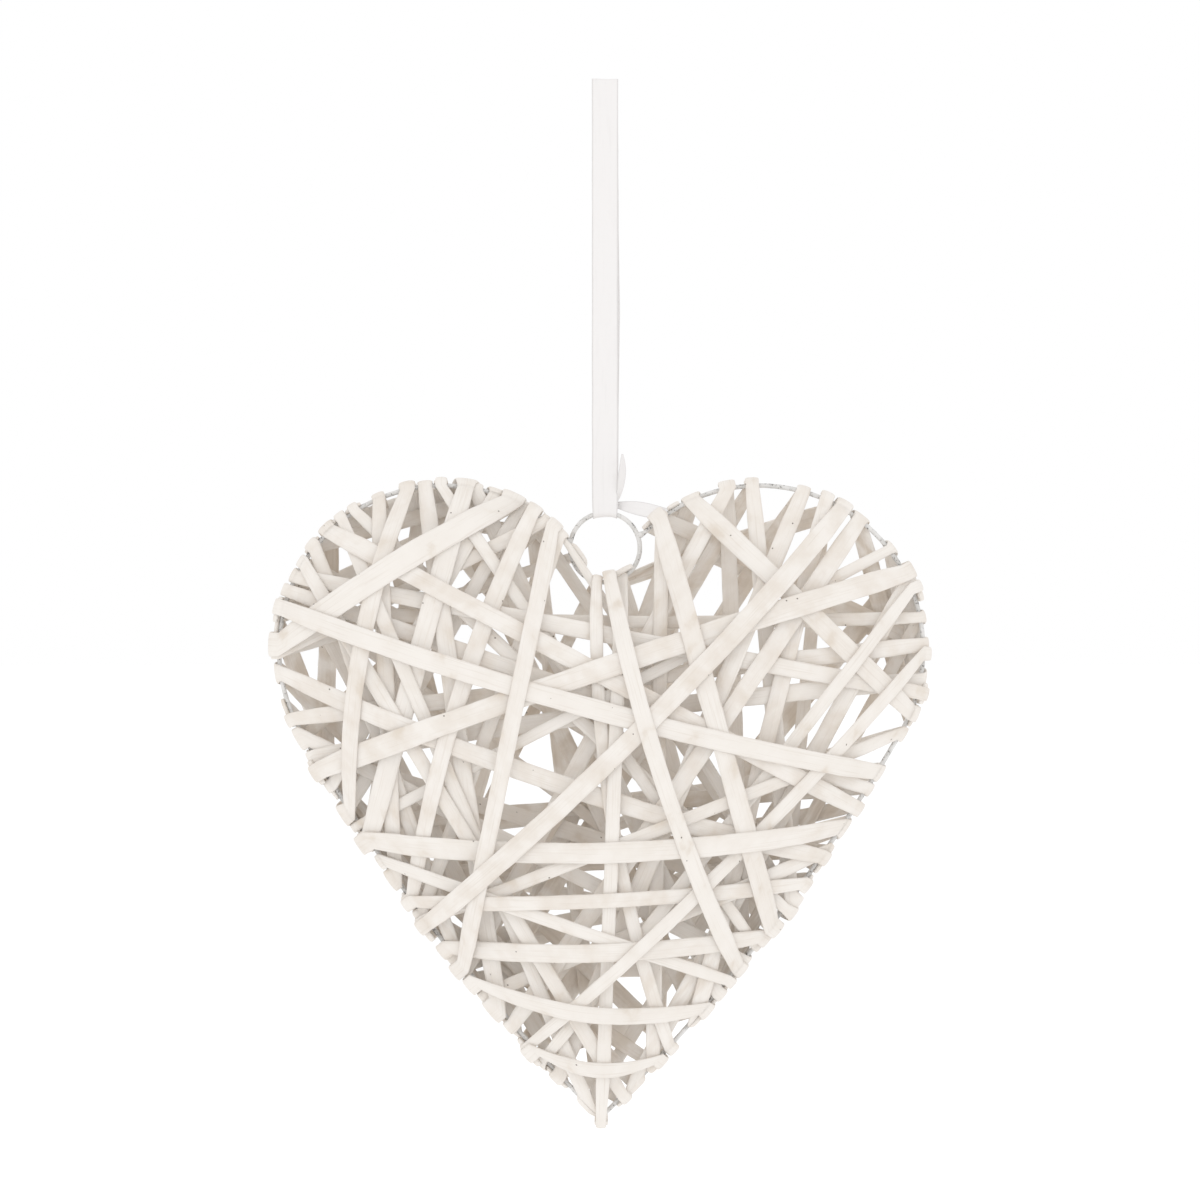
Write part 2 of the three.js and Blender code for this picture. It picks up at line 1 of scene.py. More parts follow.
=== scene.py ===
"""A white wicker heart on a satin ribbon: a wire heart closed by a wire ring, wound over both
faces with flat strips of split willow under matt white paint."""

import math

import bpy
import numpy as np
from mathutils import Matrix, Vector


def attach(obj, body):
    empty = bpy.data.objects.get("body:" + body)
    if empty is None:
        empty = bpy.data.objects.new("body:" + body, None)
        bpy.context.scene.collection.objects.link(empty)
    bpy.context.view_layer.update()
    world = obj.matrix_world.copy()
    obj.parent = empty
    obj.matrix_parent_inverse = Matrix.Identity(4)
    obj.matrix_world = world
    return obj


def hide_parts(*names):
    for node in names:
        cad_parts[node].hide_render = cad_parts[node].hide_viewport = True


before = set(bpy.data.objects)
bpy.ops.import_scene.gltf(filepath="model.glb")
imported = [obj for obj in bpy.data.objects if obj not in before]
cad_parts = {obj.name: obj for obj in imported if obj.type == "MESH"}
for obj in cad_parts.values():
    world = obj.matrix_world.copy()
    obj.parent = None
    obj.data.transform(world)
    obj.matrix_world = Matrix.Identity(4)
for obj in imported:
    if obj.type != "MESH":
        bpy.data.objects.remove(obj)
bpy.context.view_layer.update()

scene = bpy.context.scene
MM = 0.001

# The wire, the ring and the strips, in millimetres, as the solids have them
WIRE_DIAMETER = 2.2
LOBE_RADIUS = 75.4
LOBE_OFFSET = 72.7
TIP_DROP = 215
FLANK_RADIUS = 850
TIP_BEND = 5
RING_RADIUS = 16
RING_RISE = 46.9
RING_SHIFT = 1.8
RING_REACH = 8
TIP_REACH = 1.5
STRIP_THICKNESS = 1.2
GAP = 0.3
CROSSING_GAP = 0.6
MIDDLE_DROP = 40
BULGE = 0.03
PINCH = 0.8
PINCH_LENGTH = 15
LONGEST_TURN = 14
SLIDE_STEP = 0.5
SLIDE_COST = 0.15
FRONT_SLIDE = 3
BACK_SLIDE = 6
SAMPLE_LENGTH = 1
SAMPLE_ROWS = 5
FOOT_MARGIN = 0.8
KINK_TOLERANCE = 0.3
SAME_WAY_OUT = 0.3
SHARE_STEPS = 4
BULGE_PLACES = (0.2, 0.4, 0.6, 0.8)
RIBBON_DROP = 200
RIBBON_WIDTH = 12

# Each strip's run over the front, from one clock bearing to another, its width and its bow
WINDINGS = (
    (292, 69.5, 6, 4),
    (155.5, 333, 7.8, 0),
    (254, 341, 6.4, 0),
    (131, 352.5, 5.5, 0),
    (284.5, 345.5, 6.4, 0),
    (270, 147.5, 7.4, 0),
    (27, 210, 7.4, 0),
    (31, 130.5, 7.8, 0),
    (266, 80, 8.3, -3),
    (63, 174.5, 7.8, 0),
    (260, 335, 6.9, 0),
    (303.5, 213, 7.4, 0),
    (273, 74, 7.8, 0),
    (15.5, 171, 6.9, 0),
    (225.5, 349.5, 6.4, 0),
    (312.5, 133, 6.4, 0),
    (43.5, 161, 7.8, 0),
    (327.5, 143.5, 5.5, 0),
    (295, 101, 7.4, 0),
    (250, 57, 5.5, 0),
    (82, 297.5, 7.8, 0),
    (187, 39.5, 8.3, 0),
    (204, 117, 6.9, 0),
    (235.5, 317, 7.4, 0),
    (197, 50, 8.3, 0),
    (85.5, 21, 9.2, 0),
    (201, 325.5, 8.3, 0),
    (246, 331.5, 9.7, 0),
    (310, 182, 6.4, 0),
    (64.5, 189.5, 6, -0),
    (176.5, 300, 6.9, 0),
    (118.5, 282, 8.7, -6.4),
    (167.5, 358.5, 6, -10),
    (224, 88.5, 6, 0),
    (228.5, 343, 7.8, -6.4),
    (180, 7.5, 6.4, 0),
    (152.5, 240.5, 6, 0),
    (141, 216, 8.3, -3.7),
    (126, 229, 6.9, -2.8),
    (105.5, 307.5, 8.7, 0),
    (263.5, 62, 10.1, -2.8),
    (193, 75.5, 6, 4.6),
    (15, 137.5, 9.2, 0),
    (322, 253.5, 8.3, 7.4),
    (286, 339.5, 11.5, -2.3),
    (292, 97.5, 9.2, 6.4),
    (246, 110.5, 9.7, 7.8),
    (211, 347, 7.8, 0),
    (223, 45.5, 9.2, 6),
    (3.5, 150.5, 7.8, 6),
    (208, 158, 7.8, 7.8),
    (192, 169, 6.9, 6.4),
)
LAST_END = 20

WIRE_RADIUS = WIRE_DIAMETER / 2
LAYER = STRIP_THICKNESS + CROSSING_GAP
FIRST_TURN = WIRE_RADIUS + GAP + STRIP_THICKNESS / 2
LOBE_HEIGHT = -(RIBBON_DROP + RING_RADIUS + RING_RISE)
MIDDLE = np.array([0.0, -MIDDLE_DROP])
RING_CENTRE = np.array([RING_SHIFT, RING_RISE])


# Where things lie in the heart's plane

def right_of(way):
    return np.array([way[1], -way[0]])


def unit(vector):
    return vector / math.hypot(*vector)


def flank_centre(side):
    """The centre of a flank's arc, which touches the lobe from inside and ends at the tip."""
    lobe = np.array([side * LOBE_OFFSET, 0.0])
    to_tip = np.array([0.0, -TIP_DROP]) - lobe
    span = math.hypot(*to_tip)
    inner = FLANK_RADIUS - LOBE_RADIUS
    reach = (span ** 2 + inner ** 2 - FLANK_RADIUS ** 2) / (2 * span)
    rise = math.sqrt(inner ** 2 - reach ** 2)
    to_tip = to_tip / span
    return lobe + to_tip * reach + right_of(to_tip) * side * rise


def lobe_arc(side):
    return np.array([side * LOBE_OFFSET, 0.0]), LOBE_RADIUS


def flank_arc(side):
    return flank_centre(side), FLANK_RADIUS


def shoulder(side):
    """Where a lobe passes into its flank."""
    lobe = lobe_arc(side)[0]
    return lobe + unit(lobe - flank_centre(side)) * LOBE_RADIUS


def meet(ray, arc, near=False):
    """Where a ray from the middle meets a circle: its far point, or its near one."""
    centre, radius = arc
    to_centre = centre - MIDDLE
    along = to_centre @ ray
    half = math.sqrt(radius ** 2 - to_centre @ to_centre + along ** 2)
    return MIDDLE + ray * (along - half if near else along + half)


def wire_place(bearing):
    """The place on the wound wire at a bearing, its way out of the heart and its hollow."""
    angle = math.radians(bearing)
    ray = np.array([math.sin(angle), math.cos(angle)])
    if abs(bearing - 180) < TIP_REACH:
        return {"bearing": bearing, "at": np.array([0.0, -TIP_DROP]), "out": np.array([0.0, -1.0]),
                "hollow": 0.0}
    off_ring = math.acos(min(1.0, float(ray @ unit(RING_CENTRE - MIDDLE))))
    if off_ring < math.radians(RING_REACH):
        at = meet(ray, (RING_CENTRE, RING_RADIUS), near=True)
        return {"bearing": bearing, "at": at, "out": unit(RING_CENTRE - at), "hollow": 1 / RING_RADIUS}
    side = -1 if ray[0] < 0 else 1
    on_flank = meet(ray, flank_arc(side))
    arc = flank_arc(side) if on_flank[1] < shoulder(side)[1] else lobe_arc(side)
    at = meet(ray, arc)
    return {"bearing": bearing, "at": at, "out": unit(at - arc[0]), "hollow": 0.0}


def slide_place(place, distance):
    turn = distance / math.dist(place["at"], MIDDLE)
    return wire_place(place["bearing"] + math.degrees(turn))


class Span:
    """One run of a strip over a face, measured by a share s along it and an offset v across.
    Its end sections lie along the wire there, so those between slant a little from one to
    the other."""

    def __init__(self, face, start, end, width, bow, start_out, end_out, hand):
        run = end - start
        self.face = face
        self.start = start
        self.length = math.hypot(*run)
        self.forward = run / self.length
        self.across = right_of(self.forward) * hand
        self.width = width
        self.bow = bow * hand
        self.start_slant = self.slant(start_out)
        self.end_slant = self.slant(end_out)
        self.start_neck = self.neck(self.start_slant)
        self.end_neck = self.neck(self.end_slant)
        self.profile = None

    def slant(self, out):
        along = right_of(out)
        return float(along @ self.forward) / float(along @ self.across) / self.length

    def neck(self, share):
        return min(PINCH, LONGEST_TURN / (self.width * math.hypot(1, share * self.length)))

    def plan(self, s, v):
        """The run's share is the share s with the slant at v, and the bow is a parabola."""
        share = (1 - s) * self.start_slant * v + s * (1 + self.end_slant * v)
        aside = v + 4 * self.bow * s * (1 - s)
        ahead = (share * self.length)[..., None] * self.forward
        return self.start + ahead + aside[..., None] * self.across

    def half_width(self, s):
        from_start = self.start_neck + (1 - self.start_neck) * s * self.length / PINCH_LENGTH
        from_end = self.end_neck + (1 - self.end_neck) * (1 - s) * self.length / PINCH_LENGTH
        return self.width / 2 * np.minimum(1, np.minimum(from_start, from_end))

    def share(self, points):
        """plan turned round, by a few steps: the share and offset of plan points."""
        offset = points - self.start
        ahead = offset @ self.forward / self.length
        aside = offset @ self.across
        s = ahead
        v = aside
        for _ in range(SHARE_STEPS):
            v = aside - 4 * self.bow * s * (1 - s)
            s = (ahead - self.start_slant * v) / (1 + v * (self.end_slant - self.start_slant))
        return s, v

    def height(self, s):
        return np.interp(s, self.profile[:, 0], self.profile[:, 1])

    def section_way(self, s):
        pair = self.plan(np.array([s, s]), np.array([1.0, -1.0]))
        return unit(pair[0] - pair[1])


def lift_over(laid, points):
    """The height that the spans already laid under plan points ask of one over them."""
    lift = np.zeros(points.shape[:-1])
    for span in laid:
        s, v = span.share(points)
        slack = FOOT_MARGIN / span.length
        covers = (s > -slack) & (s < 1 + slack) & (np.abs(v) < span.half_width(s) + FOOT_MARGIN)
        if covers.any():
            lift = np.where(covers, np.maximum(lift, span.height(s) + LAYER), lift)
    return lift


def taut_string(points):
    """The string pulled tight over points: their upper hull, built from left to right."""
    hull = []
    for point in points:
        while len(hull) > 1:
            a, b = hull[-2], hull[-1]
            if (b[0] - a[0]) * (point[1] - a[1]) < (b[1] - a[1]) * (point[0] - a[0]):
                break
            hull.pop()
        hull.append(point)
    return hull


def ease_profile(profile):
    """The kinks that show: the furthest from the chord, and so on in both parts beside it."""
    first, last = profile[0], profile[-1]
    lacks = [h - (first[1] + (last[1] - first[1]) * (s - first[0]) / (last[0] - first[0]))
             for s, h in profile]
    worst = max(lacks)
    if worst < KINK_TOLERANCE:
        return [first, last]
    furthest = lacks.index(worst)
    return ease_profile(profile[:furthest + 1])[:-1] + ease_profile(profile[furthest:])


def drape(span, laid, from_height, to_height):
    """Lays a span as a tight band over what lies under it: the taut string over the lifts,
    sampled along and across it, and over the gentle bulge that the strip has by itself."""
    steps = math.ceil(span.length / SAMPLE_LENGTH)
    s = np.arange(steps + 1) / steps
    rows = np.linspace(-1, 1, SAMPLE_ROWS)
    v = span.half_width(s)[:, None] * rows
    lifts = lift_over(laid, span.plan(np.broadcast_to(s[:, None], v.shape), v)).max(axis=1)
    heights = np.maximum(lifts, np.maximum(np.r_[lifts[0], lifts[:-1]], np.r_[lifts[1:], lifts[-1]]))
    heights[0] = max(heights[0], from_height)
    heights[-1] = max(heights[-1], to_height)
    points = [(float(a), float(h)) for a, h in zip(s, heights) if h > 0]
    rise = 4 * BULGE * span.length
    for a in BULGE_PLACES:
        points.append((a, from_height + (to_height - from_height) * a + rise * a * (1 - a)))
    points.sort(key=lambda point: point[0])
    span.profile = np.array(ease_profile(taut_string(points)))


# The turns round the wire

def clear_radius(place, half, below):
    """How far out a turn lies to clear the one below it: each is straight along the wire, so
    the ends of both are tested against the other's line."""
    way = right_of(place["out"])
    below_way = right_of(below["out"])
    radius = below["radius"] + LAYER
    for sign in (-1, 1):
        end = below["at"] + below["out"] * (below["radius"] + LAYER) + below_way * sign * below["half"]
        end = end - place["at"]
        if abs(end @ way) < half + GAP:
            radius = max(radius, end @ place["out"])
        own = place["at"] + way * sign * half - below["at"]
        if abs(own @ below_way) < below["half"] + GAP:
            lack = below["radius"] + LAYER - own @ below["out"]
            radius = max(radius, lack / (place["out"] @ below["out"]))
    return radius


def find_turn(turns, bearing, half, slide):
    """A turn at a bearing, slipped along the wire a little where it lies lower there."""
    wanted = wire_place(bearing)
    best = None
    for step in range(int(slide / SLIDE_STEP) + 1):
        for way in ((1,) if step == 0 else (1, -1)):
            distance = step * SLIDE_STEP
            place = slide_place(wanted, way * distance)
            if place["hollow"] != wanted["hollow"]:
                continue
            under = [turn for turn in turns if turn["out"] @ place["out"] > SAME_WAY_OUT
                     and math.dist(turn["at"], place["at"]) < turn["half"] + half + GAP]
            bare = FIRST_TURN + place["hollow"] * half ** 2 / 2
            radius = max([bare] + [clear_radius(place, half, turn) for turn in under])
            cost = radius + SLIDE_COST * distance
            if best is None or cost < best["cost"]:
                best = dict(place, half=half, radius=radius, cost=cost, under=under)
    best["front"] = max([best["radius"]] + [turn["front"] + LAYER for turn in best["under"]])
    best["back"] = max([best["radius"]] + [turn["back"] + LAYER for turn in best["under"]])
    turns.append(best)
    return best


def turn_half(bearing, other, width):
    """Half of the wire length that a strip covers where it runs from one bearing to another."""
    place = wire_place(bearing)
    run = unit(wire_place(other)["at"] - place["at"])
    lean = max(abs(run @ place["out"]), width * PINCH / LONGEST_TURN)
    return width / 2 * PINCH / lean


def wind():
    """Winds the strips in order: each hooks on to the wire, runs over the front, turns round
    the wire, runs back behind the heart and hooks on to the wire again."""
    turns, front, back, strips = [], [], [], []
    for index, (start_at, turn_at, width, bow) in enumerate(WINDINGS):
        next_at = WINDINGS[index + 1][0] if index + 1 < len(WINDINGS) else LAST_END
        both = max(turn_half(turn_at, start_at, width), turn_half(turn_at, next_at, width))
        start = find_turn(turns, start_at, turn_half(start_at, turn_at, width), FRONT_SLIDE)
        turn = find_turn(turns, turn_at, both, FRONT_SLIDE)
        end = find_turn(turns, next_at, turn_half(next_at, turn_at, width), BACK_SLIDE)
        over = Span(1, start["at"], turn["at"], width, bow, start["out"], turn["out"], 1)
        back_way = right_of(end["at"] - turn["at"])
        hand = 1 if back_way @ over.section_way(1.0) > 0 else -1
        under = Span(-1, turn["at"], end["at"], width, 0, turn["out"], end["out"], hand)
        drape(over, front, start["front"], turn["front"])
        front.append(over)
        start["front"] = over.profile[0, 1]
        turn["front"] = over.profile[-1, 1]
        drape(under, back, turn["back"], end["back"])
        back.append(under)
        turn["back"] = under.profile[0, 1]
        end["back"] = under.profile[-1, 1]
        strips.append({"start": start, "turn": turn, "end": end, "over": over, "under": under})
    return strips


# Making meshes

def to_world(plan, depth):
    """Plan points in the heart's plane and depths behind it, as points of the frame."""
    return np.stack([plan[..., 0] - RING_SHIFT, depth, plan[..., 1] + LOBE_HEIGHT], axis=-1) * MM


def grid_faces(rows, columns, wrap_rows, wrap_columns):
    """Four corners for each cell of a grid of points, joined round where it wraps."""
    i, j = np.meshgrid(np.arange(rows if wrap_rows else rows - 1),
                       np.arange(columns if wrap_columns else columns - 1), indexing="ij")
    here = i * columns + j
    there = (i + 1) % rows * columns + j
    beside = i * columns + (j + 1) % columns
    beyond = (i + 1) % rows * columns + (j + 1) % columns
    return np.stack([here, there, beyond, beside], axis=-1).reshape(-1, 4)


def make_mesh(name, points, closed, attributes=()):
    """A mesh from a grid of points, rows along a path and columns round its section. An open
    path's ends are capped by one face each. Attributes give one number for each point."""
    rows, columns = points.shape[:2]
    faces = grid_faces(rows, columns, closed, True)
    corners = faces.reshape(-1)
    sizes = np.full(len(faces), 4)
    if not closed:
        last = (rows - 1) * columns
        corners = np.r_[corners, np.arange(columns), last + np.arange(columns)[::-1]]
        sizes = np.r_[sizes, columns, columns]
    mesh = bpy.data.meshes.new(name)
    flat = points.reshape(-1, 3)
    mesh.vertices.add(len(flat))
    mesh.vertices.foreach_set("co", flat.reshape(-1))
    mesh.loops.add(len(corners))
    mesh.loops.foreach_set("vertex_index", corners.astype(np.int32))
    mesh.polygons.add(len(sizes))
    mesh.polygons.foreach_set("loop_start", np.r_[0, np.cumsum(sizes)[:-1]].astype(np.int32))
    mesh.update(calc_edges=True)
    mesh.validate()
    for label, values in attributes:
        layer = mesh.attributes.new(label, "FLOAT", "POINT")
        layer.data.foreach_set("value", np.asarray(values, dtype=np.float32).reshape(-1))
    volume = signed_volume(mesh)
    if volume < 0:
        mesh.flip_normals()
    mesh.shade_smooth()
    piece = bpy.data.objects.new(name, mesh)
    scene.collection.objects.link(piece)
    return piece


def signed_volume(mesh):
    """A sixth of the sum of each triangle's triple product."""
    mesh.calc_loop_triangles()
    corners = np.empty(len(mesh.loop_triangles) * 3, dtype=np.int32)
    mesh.loop_triangles.foreach_get("vertices", corners)
    places = np.empty(len(mesh.vertices) * 3)
    mesh.vertices.foreach_get("co", places)
    a, b, c = places.reshape(-1, 3)[corners.reshape(-1, 3)].transpose(1, 0, 2)
    return float(np.einsum("ij,ij->", a, np.cross(b, c))) / 6


def wobble(generator, count, wavelength, step):
    """A smooth random line about nought: random numbers a wavelength apart, joined by
    half-cosine steps."""
    knots = generator.uniform(-1, 1, int(count * step / wavelength) + 3)
    place = np.arange(count) * step / wavelength
    low = place.astype(int)
    blend = (1 - np.cos(math.pi * (place - low))) / 2
    return knots[low] * (1 - blend) + knots[low + 1] * blend


# The willow strips

PATH_STEP = 1.6
ROUND_STEP = 15
SECTION_POINTS = 16
HOOK_END = 150
SOFT_KINK = 7
KINK_SAMPLES = 9
CROWN = 1.5
BELLY = 0.8
EDGE_POWER = 0.7
CROWN_POWER = 0.85
BELLY_POWER = 0.6
THICKNESS_WANDER = 0.12
CUP = 0.15
WRAP_PULL = 0.62


def smooth_height(span, s):
    """The taut profile with its kinks rounded, as an average over a short stretch."""
    shift = np.linspace(-1, 1, KINK_SAMPLES) * SOFT_KINK / 2 / span.length
    near = np.clip(np.minimum(s, 1 - s) * span.length / SOFT_KINK * 2, 0, 1)
    return np.mean([span.height(np.clip(s + near * d, 0, 1)) for d in shift], axis=0)


def span_frames(span):
    """Along a span: the section's middle, its way across and its way out, and half widths."""
    count = max(8, round(span.length / PATH_STEP))
    s = np.linspace(0, 1, count)
    zero = np.zeros(count)
    centre = span.plan(s, zero)
    edge = span.plan(s, zero + 1) - centre
    height = smooth_height(span, s)
    middle = to_world(centre, -span.face * height)
    across = np.stack([edge[:, 0], zero, edge[:, 1]], axis=-1)
    run = np.gradient(middle / MM, axis=0)
    out = np.cross(run, across)
    out /= np.linalg.norm(out, axis=1)[:, None]
    out *= np.sign(out[:, 1:2] * -span.face)
    return middle, across, out, span.half_width(s)


def turn_frames(turn, way, front_half, back_half, angles):
    """Round a turn: the same four, with half circles about the wire moved out to the front
    and back heights, and a straight stretch between them. Willow that dried on the wire has
    pulled in, so the half circles are smaller than stiff bands laid on each other would be."""
    radians = np.radians(angles)
    count = len(radians)
    radius = FIRST_TURN + WRAP_PULL * (turn["radius"] - FIRST_TURN)
    front_shift = turn["front"] - radius
    back_shift = radius - turn["back"]
    shift = np.where(radians < math.pi / 2, front_shift, back_shift)
    depth = -(radius * np.cos(radians) + shift)
    plan = turn["at"] + turn["out"] * (radius * np.sin(radians))[:, None]
    middle = to_world(plan, depth)
    across = np.tile([way[0], 0.0, way[1]], (count, 1))
    out_plan = turn["out"] * np.sin(radians)[:, None]
    out = np.stack([out_plan[:, 0], -np.cos(radians), out_plan[:, 1]], axis=-1)
    half = front_half + (back_half - front_half) * np.asarray(angles) / 180
    return middle, across, out, half


def end_half(span, s):
    half = float(span.half_width(np.array(s)))
    pair = span.plan(np.array([s, s]), np.array([half, -half]))
    return math.dist(pair[0], pair[1]) / 2


def strip_frames(strip):
    """A whole strip's path, from its first hook over the wire to its last."""
    over, under = strip["over"], strip["under"]
    inner = np.arange(ROUND_STEP, 180, ROUND_STEP)
    first_hook = inner[inner <= HOOK_END][::-1]
    last_hook = inner[inner >= 180 - HOOK_END][::-1]
    first = end_half(over, 0.0)
    last = end_half(under, 1.0)
    pieces = [
        turn_frames(strip["start"], over.section_way(0.0), first, first, first_hook),
        span_frames(over),
        turn_frames(strip["turn"], over.section_way(1.0), end_half(over, 1.0),
                    end_half(under, 0.0), inner),
        span_frames(under),
        turn_frames(strip["end"], under.section_way(1.0), last, last, last_hook),
    ]
    return [np.concatenate(parts) for parts in zip(*pieces)]


def edge_wander(generator, count, step):
    """How an edge of a split strip wanders, as a share of its half width: a slow swell, a
    shorter one and a fine roughness."""
    slow = 0.055 * wobble(generator, count, 45, step)
    short = 0.035 * wobble(generator, count, 14, step)
    return slow + short + 0.012 * wobble(generator, count, 4, step)


def willow_strip(strip, number):
    """A strip's skin: at each place of its path a flattened oval, fuller on its outer face,
    whose width and thickness wander a little, as a split rod's do."""
    generator = np.random.default_rng(100 + number)
    middle, across, out, half = strip_frames(strip)
    count = len(middle)
    step = np.linalg.norm(np.diff(middle, axis=0), axis=1) / MM
    along = np.r_[0, np.cumsum(step)]
    mean_step = along[-1] / (count - 1)
    left = half * (1 + edge_wander(generator, count, mean_step))
    right = half * (1 + edge_wander(generator, count, mean_step))
    thick = STRIP_THICKNESS / 2 * (1 + THICKNESS_WANDER * wobble(generator, count, 30, mean_step))
    cup = CUP * wobble(generator, count, 60, mean_step)
    angle = 2 * math.pi * (np.arange(SECTION_POINTS) + 0.5) / SECTION_POINTS
    power = np.where(np.sin(angle) > 0, CROWN_POWER, BELLY_POWER)
    wide = np.sign(np.cos(angle)) * np.abs(np.cos(angle)) ** EDGE_POWER
    high = np.sign(np.sin(angle)) * np.abs(np.sin(angle)) ** power
    spread = np.linalg.norm(across, axis=1)[:, None]
    sideways = across / spread
    aside = np.where(wide > 0, right[:, None], left[:, None]) * wide * spread
    rise = thick[:, None] * np.where(high > 0, high * CROWN, high * BELLY)
    rise = rise + cup[:, None] * (wide ** 2 - 0.5)
    offset = aside[..., None] * sideways[:, None] + rise[..., None] * out[:, None]
    points = middle[:, None] + offset * MM
    # The faces towards the heart's hollow, which the willow finish tints tan: bare willow and painted
    # shade together.
    inward = np.broadcast_to(high < 0, aside.shape)
    attributes = (
        ("along", np.broadcast_to(along[:, None], aside.shape)),
        ("across", aside),
        ("inward", inward.astype(float)),
        ("strip", np.full(aside.shape, generator.uniform())),
    )
    node = f"willow_strip_{number:02d}"
    piece = make_mesh(f"{node}_split_willow", points, False, attributes)
    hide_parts(node)
    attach(piece, "root")
    return piece


# The wire and the ring

WIRE_POINTS = 20
WIRE_STEP = 1.5
RING_STEP = 1.2
COAT_WANDER = 0.012
BARE_SHARE = 0.985


def arc_points(arc, start, end, step):
    """Points of an arc about a centre, a step apart."""
    centre, radius = arc
    count = max(3, round(abs(end - start) * radius / step))
    angle = np.linspace(start, end, count + 1)
    return centre + radius * np.stack([np.cos(angle), np.sin(angle)], axis=-1)


def bearing_of(vector):
    return math.atan2(vector[1], vector[0]) % (2 * math.pi)


def half_heart(side):
    """Half of the heart's wire, from its end at the ring, over the lobe and down to the tip."""
    lobe = lobe_arc(side)
    to_ring = RING_CENTRE - lobe[0]
    far = math.hypot(*to_ring)
    clear = RING_RADIUS + 2 * WIRE_RADIUS + GAP
    cosine = (to_ring @ to_ring + LOBE_RADIUS ** 2 - clear ** 2) / (2 * far * LOBE_RADIUS)
    end_angle = bearing_of(to_ring) - side * math.acos(cosine)
    join_angle = bearing_of(shoulder(side) - lobe[0]) - (0 if side < 0 else 2 * math.pi)
    flank = flank_arc(side)
    from_flank = bearing_of(shoulder(side) - flank[0])
    to_tip = bearing_of(np.array([0.0, -TIP_DROP]) - flank[0]) + side * TIP_BEND / FLANK_RADIUS
    to_tip += 2 * math.pi if from_flank - to_tip > math.pi else 0
    return np.concatenate([
        arc_points(lobe, end_angle, join_angle, WIRE_STEP),
        arc_points(flank, from_flank, to_tip, WIRE_STEP)[1:],
    ])


def wire_skin(name, path, closed, seed):
    """A round wire along a path in the heart's plane, under paint of uneven thickness."""
    generator = np.random.default_rng(seed)
    if closed:
        run = np.roll(path, -1, axis=0) - np.roll(path, 1, axis=0)
    else:
        run = np.gradient(path, axis=0)
    run /= np.linalg.norm(run, axis=1)[:, None]
    across = np.stack([run[:, 1], -run[:, 0]], axis=-1)
    angle = 2 * math.pi * np.arange(WIRE_POINTS) / WIRE_POINTS
    coat = generator.normal(0, COAT_WANDER, (len(path), WIRE_POINTS))
    coat = (coat + np.roll(coat, 1, axis=1) + np.roll(coat, 1, axis=0)) / 1.5
    radius = WIRE_RADIUS * (BARE_SHARE + coat)
    plan = path[:, None] + across[:, None] * (radius * np.cos(angle))[..., None]
    points = to_world(plan, radius * np.sin(angle))
    return make_mesh(name, points, closed)


def tip_bend(start, end):
    """The wire's bend at the tip: a parabola between the flanks, with the tip as its pole."""
    t = np.linspace(0, 1, 9)[1:-1, None]
    tip = np.array([0.0, -TIP_DROP])
    return (1 - t) ** 2 * start + 2 * t * (1 - t) * tip + t ** 2 * end


def heart_wire():
    left = half_heart(-1)
    right = half_heart(1)
    path = np.concatenate([left, tip_bend(left[-1], right[-1]), right[::-1]])
    piece = wire_skin("heart_wire_painted", path, False, 11)
    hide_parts("heart_wire")
    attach(piece, "root")
    return piece


def hanging_ring():
    path = arc_points((RING_CENTRE, RING_RADIUS), 0, 2 * math.pi, RING_STEP)[:-1]
    piece = wire_skin("hanging_ring_painted", path, True, 12)
    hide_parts("hanging_ring")
    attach(piece, "root")
    return piece


# The ribbon

RIBBON_SHEET = 0.28
RIBBON_STEP = 0.8
RIBBON_COLUMNS = 13
RUNS_APART = 0.9
SOFT_FOLD = 2.4
RIPPLE = 0.16
FINE_RIPPLE = 0.08
SELVEDGE_WANDER = 0.012
RING_FIT = 12


def ribbon_rows():
    """The satin's middle line from the cut end that stands up, through the knot behind the
    ring's top, up the back run, over the fold, down the front run, round the ring's wire, and
    through the knot again to the end that lies to the side. Each row has the place, the half
    width and the way across."""
    half = RIBBON_WIDTH / 2
    behind = RUNS_APART / 2
    ring_top = -RIBBON_DROP
    knot = ring_top + 3
    flat, leaning, upright = (1, 0, 0), (0.7, 0.5, 0.5), (0, 0.2, 1)
    return [
        (8.0, -2.0, knot + 24, 0.4, leaning),
        (8.2, -2.0, knot + 20, 1.5, leaning),
        (7.8, -1.8, knot + 14, 2.3, leaning),
        (6.9, -0.8, knot + 7, 1.7, leaning),
        (5.2, 1.2, knot + 2, 1.3, leaning),
        (2.0, 2.3, knot, 1.8, flat),
        (0.0, 1.6, knot + 3, 3.4, flat),
        (0.0, behind + 0.3, knot + 9, half * 0.92, flat),
        (0.1, behind, knot + 18, half, flat),
        (0.3, behind, -RIBBON_DROP * 0.75, half, flat),
        (0.9, behind, -RIBBON_DROP * 0.55, half, flat),
        (0.3, behind, -RIBBON_DROP * 0.35, half, flat),
        (0.0, behind, -2, half, flat),
        (0.0, behind, 0.5, half, flat),
        (0.0, -behind, 0.5, half, flat),
        (0.0, -behind, -2, half, flat),
        (0.0, -behind, -RIBBON_DROP * 0.5, half, flat),
        (0.0, -behind, knot + 12, half, flat),
        (0.0, -1.7, knot, half * 0.97, flat),
        (0.0, -1.9, ring_top - 2.0, half * 0.93, flat),
        (0.0, 1.9, ring_top - 2.0, half * 0.9, flat),
        (0.2, 2.1, ring_top + 1.0, half * 0.7, flat),
        (1.5, 2.9, knot + 0.5, 2.0, leaning),
        (5.0, 2.2, knot + 0.8, 1.3, upright),
        (9.5, 0.0, knot, 2.5, upright),
        (15.5, -2.2, knot - 1.0, 3.3, upright),
        (22.0, -3.4, knot - 2.4, 3.3, upright),
        (28.0, -4.1, knot - 3.8, 2.9, upright),
    ]


